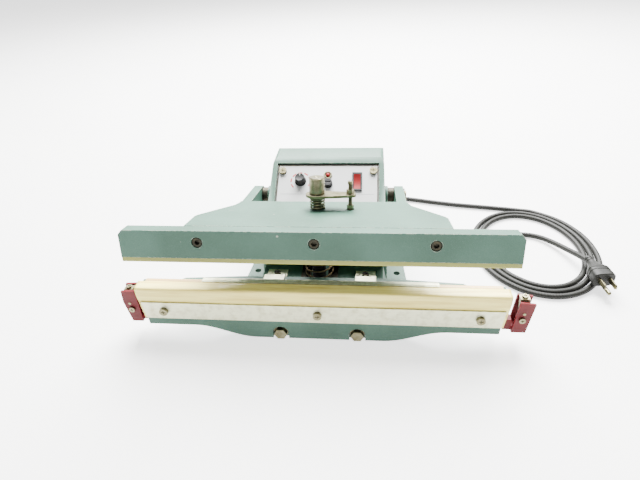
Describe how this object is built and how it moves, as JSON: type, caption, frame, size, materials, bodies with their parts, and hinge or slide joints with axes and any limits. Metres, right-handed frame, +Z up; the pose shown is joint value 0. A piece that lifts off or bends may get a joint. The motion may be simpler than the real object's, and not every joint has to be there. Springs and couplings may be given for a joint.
{
  "type": "impulse heat sealer",
  "caption": "Foot-operated impulse heat sealer: hinged sealing jaw on a pull rod, cloth-covered lower jaw, slanted control panel, coiled mains cord.",
  "frame": {"origin": "on the bench, under the middle of the jaws and midway between the front of the lower jaw and the back wall", "axes": "+X along the jaws to the operator's right, -Y towards the operator, +Z up"},
  "size_m": [0.5882, 0.3357, 0.1628],
  "materials": {
    "painted_casting": "satin enamel over cast metal",
    "bare_steel": "plain",
    "dark_steel": "blackened",
    "chromed_steel": "polished",
    "aluminium_strip": "brushed",
    "white_panel": "satin",
    "black_plastic": "moulded",
    "red_plastic": "moulded",
    "red_lens": "clear red",
    "nylon": "plain",
    "laminated_iron": "varnished",
    "copper_winding": "taped",
    "circuit_laminate": "lacquered",
    "blue_plastic": "moulded",
    "coated_cloth": "coated glass cloth, satin",
    "silicone": "matt",
    "bronze": "oiled",
    "spring_wire": "drawn",
    "resistance_ribbon": "rolled",
    "black_rubber": "matt",
    "grey_vinyl": "matt, finely ribbed"
  },
  "bodies": {
    "base": {"base_casting": "painted_casting", "rear_housing": "painted_casting", "housing_screws": "bare_steel", "control_panel": "white_panel", "panel_screws": "bare_steel", "timer_potentiometer": "dark_steel", "indicator_lamp": "red_lens", "fuse_holder": "black_plastic", "switch_bezel": "black_plastic", "transformer_core": "laminated_iron", "transformer_coil": "copper_winding", "transformer_bolts": "bare_steel", "circuit_board": "circuit_laminate", "board_posts": "nylon", "power_relay": "blue_plastic", "cloth_clamp_strip": "aluminium_strip", "clamp_strip_screws": "bare_steel", "ptfe_cloth": "coated_cloth", "insulation_tape": "coated_cloth", "heating_element": "resistance_ribbon", "roll_axle": "bare_steel", "roll_brackets": "painted_casting", "roll_guard": "aluminium_strip", "guard_screws": "dark_steel", "terminal_block_left": "red_plastic", "terminal_block_right": "red_plastic", "terminal_screws": "bare_steel", "terminal_pins": "bare_steel", "front_bolts": "bare_steel", "spring_seat": "dark_steel", "return_spring": "spring_wire", "hinge_pins": "bare_steel", "shaft_rings": "dark_steel", "pivot_spacers": "dark_steel", "strain_relief": "black_rubber", "power_cord": "grey_vinyl", "plug_body": "grey_vinyl", "plug_blades": "bare_steel"},
    "timer_knob": {"timer_knob": "black_plastic"},
    "fuse_cap": {"fuse_cap": "black_plastic"},
    "switch_rocker": {"switch_rocker": "red_plastic"},
    "tension_lever_left": {"tension_lever_left": "bare_steel"},
    "tension_lever_right": {"tension_lever_right": "bare_steel"},
    "cloth_roll": {"cloth_roll": "coated_cloth"},
    "upper_jaw": {"upper_casting": "painted_casting", "pivot_bushes": "bronze", "upper_jaw_bar": "painted_casting", "jaw_bar_screws": "dark_steel", "silicone_strip": "silicone", "timer_microswitch": "black_plastic", "microswitch_screws": "bare_steel", "pressure_spring": "spring_wire"},
    "switch_plunger": {"switch_plunger": "bare_steel"},
    "pull_rod": {"pull_rod": "bare_steel", "rod_sleeve": "black_rubber", "contact_arm": "bare_steel", "rod_nut": "chromed_steel", "contact_screw": "bare_steel", "contact_lock_nut": "bare_steel"}
  },
  "joints": [
    {"name": "jaw_hinge", "type": "hinge", "parent": "base", "child": "upper_jaw", "pos_m": [0, 0.04996, 0.093], "axis": [1, 0, 0], "range_deg": [0, 12], "stiffness_Nm_per_rad": 12, "springref_deg": -22.92, "deforming": ["return_spring"]},
    {"name": "rod_pull", "type": "slide", "parent": "upper_jaw", "child": "pull_rod", "axis": [0, -0.2079, -0.9781], "range_m": [0, 0.0034], "stiffness_N_per_m": 2500, "deforming": ["pressure_spring"]},
    {"name": "plunger_press", "type": "slide", "parent": "upper_jaw", "child": "switch_plunger", "axis": [0, -0.2079, -0.9781], "range_m": [0, 0.0034]},
    {"name": "timer_turn", "type": "hinge", "parent": "base", "child": "timer_knob", "pos_m": [-0.0354, 0.04936, 0.11472], "axis": [0, -0.5519, 0.8339], "range_deg": [-150, 150]},
    {"name": "rocker_tilt", "type": "hinge", "parent": "base", "child": "switch_rocker", "pos_m": [0.039, 0.05027, 0.11172], "axis": [1, 0, 0], "range_deg": [-18, 0]},
    {"name": "fuse_cap_turn", "type": "hinge", "parent": "base", "child": "fuse_cap", "pos_m": [0.0012, 0.04577, 0.11234], "axis": [0, -0.5519, 0.8339], "range_deg": [0, 45]},
    {"name": "tension_left", "type": "hinge", "parent": "base", "child": "tension_lever_left", "pos_m": [-0.2129, -0.11604, 0.047], "axis": [0, 1, 0], "range_deg": [-6, 0], "stiffness_Nm_per_rad": 0.3, "springref_deg": -5.73},
    {"name": "tension_right", "type": "hinge", "parent": "base", "child": "tension_lever_right", "pos_m": [0.2177, -0.11604, 0.047], "axis": [0, 1, 0], "range_deg": [0, 6], "stiffness_Nm_per_rad": 0.3, "springref_deg": 5.73},
    {"name": "cloth_roll_turn", "type": "hinge", "parent": "base", "child": "cloth_roll", "pos_m": [0, -0.10254, 0.059], "axis": [1, 0, 0], "continuous": true}
  ],
  "couplings": [
    {"joint": "plunger_press", "follows": "rod_pull", "ratio": 1}
  ]
}
